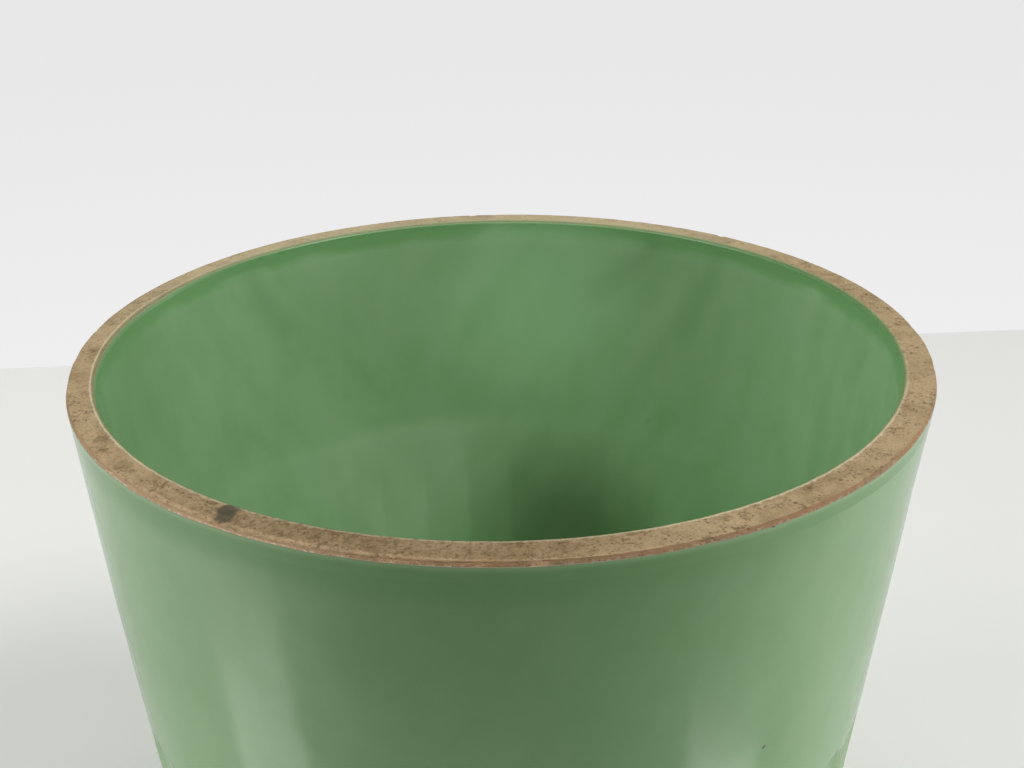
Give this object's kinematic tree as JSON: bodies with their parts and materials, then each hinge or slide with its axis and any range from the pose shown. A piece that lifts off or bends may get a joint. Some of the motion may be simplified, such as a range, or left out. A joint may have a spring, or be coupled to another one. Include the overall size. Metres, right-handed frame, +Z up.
{
  "type": "celadon jar",
  "caption": "Open round stoneware jar with pale green glaze, a bare flat clay rim, arch-topped flutes round its lower wall and a bare foot ring.",
  "frame": {"origin": "centre of the foot ring's flat face, on the surface that the jar stands on", "axes": "+Z up along the jar's axis, out of its mouth; -Y is the side seen in the picture"},
  "size_m": [0.24, 0.24, 0.205],
  "materials": {
    "bare_clay": "unglazed sandy clay, matt, with dark grains and an orange flash on its outer edge",
    "foot_clay": "unglazed sandy clay, matt, rubbed where it stands",
    "outer_celadon": "glossy pale green celadon glaze with fine pinholes",
    "inner_celadon": "glossy green celadon glaze with soft streaks and a darker line under the rim",
    "base_celadon": "glossy pale green celadon glaze"
  },
  "bodies": {
    "root": {"clay_body": "bare_clay", "foot_ring": "foot_clay", "outer_glaze": "outer_celadon", "inner_glaze": "inner_celadon", "base_glaze": "base_celadon"}
  },
  "joints": []
}
